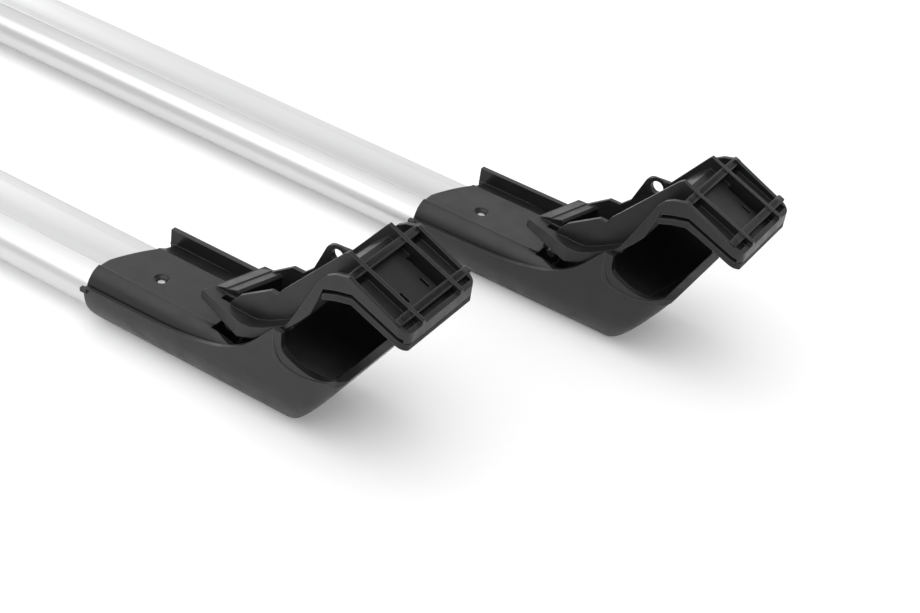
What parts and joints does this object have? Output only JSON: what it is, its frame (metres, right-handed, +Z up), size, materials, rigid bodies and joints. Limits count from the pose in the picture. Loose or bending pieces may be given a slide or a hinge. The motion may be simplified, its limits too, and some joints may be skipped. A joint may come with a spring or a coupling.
{
  "type": "pair of roof cross bars",
  "caption": "Pair of roof cross bars lying upside down: rounded aluminium bars with a moulded clamping foot at each end, a hooked ribbed arm and a rubber-lined pad.",
  "frame": {"origin": "centre of the pair's footprint, on the surface that it lies on", "axes": "+X along the bars, +Y across them from the front bar to the rear bar, +Z up"},
  "size_m": [1.2886, 0.2392, 0.111],
  "materials": {
    "bar_aluminium": "silver anodised, satin",
    "foot_plastic": "black moulded, fine grain",
    "rubber": "matt black",
    "steel": "zinc plated"
  },
  "bodies": {
    "root": {"front_bar": "bar_aluminium", "front_left_arm": "foot_plastic", "front_left_arm_liner": "rubber", "front_left_hook_pin": "steel", "front_left_shell": "foot_plastic", "front_left_tray": "foot_plastic", "front_left_tray_screw": "steel", "front_right_arm": "foot_plastic", "front_right_arm_liner": "rubber", "front_right_hook_pin": "steel", "front_right_shell": "foot_plastic", "front_right_tray": "foot_plastic", "front_right_tray_screw": "steel", "front_slot_strip": "rubber", "rear_bar": "bar_aluminium", "rear_left_arm": "foot_plastic", "rear_left_arm_liner": "rubber", "rear_left_hook_pin": "steel", "rear_left_shell": "foot_plastic", "rear_left_tray": "foot_plastic", "rear_left_tray_screw": "steel", "rear_right_arm": "foot_plastic", "rear_right_arm_liner": "rubber", "rear_right_hook_pin": "steel", "rear_right_shell": "foot_plastic", "rear_right_tray": "foot_plastic", "rear_right_tray_screw": "steel", "rear_slot_strip": "rubber"}
  },
  "joints": []
}
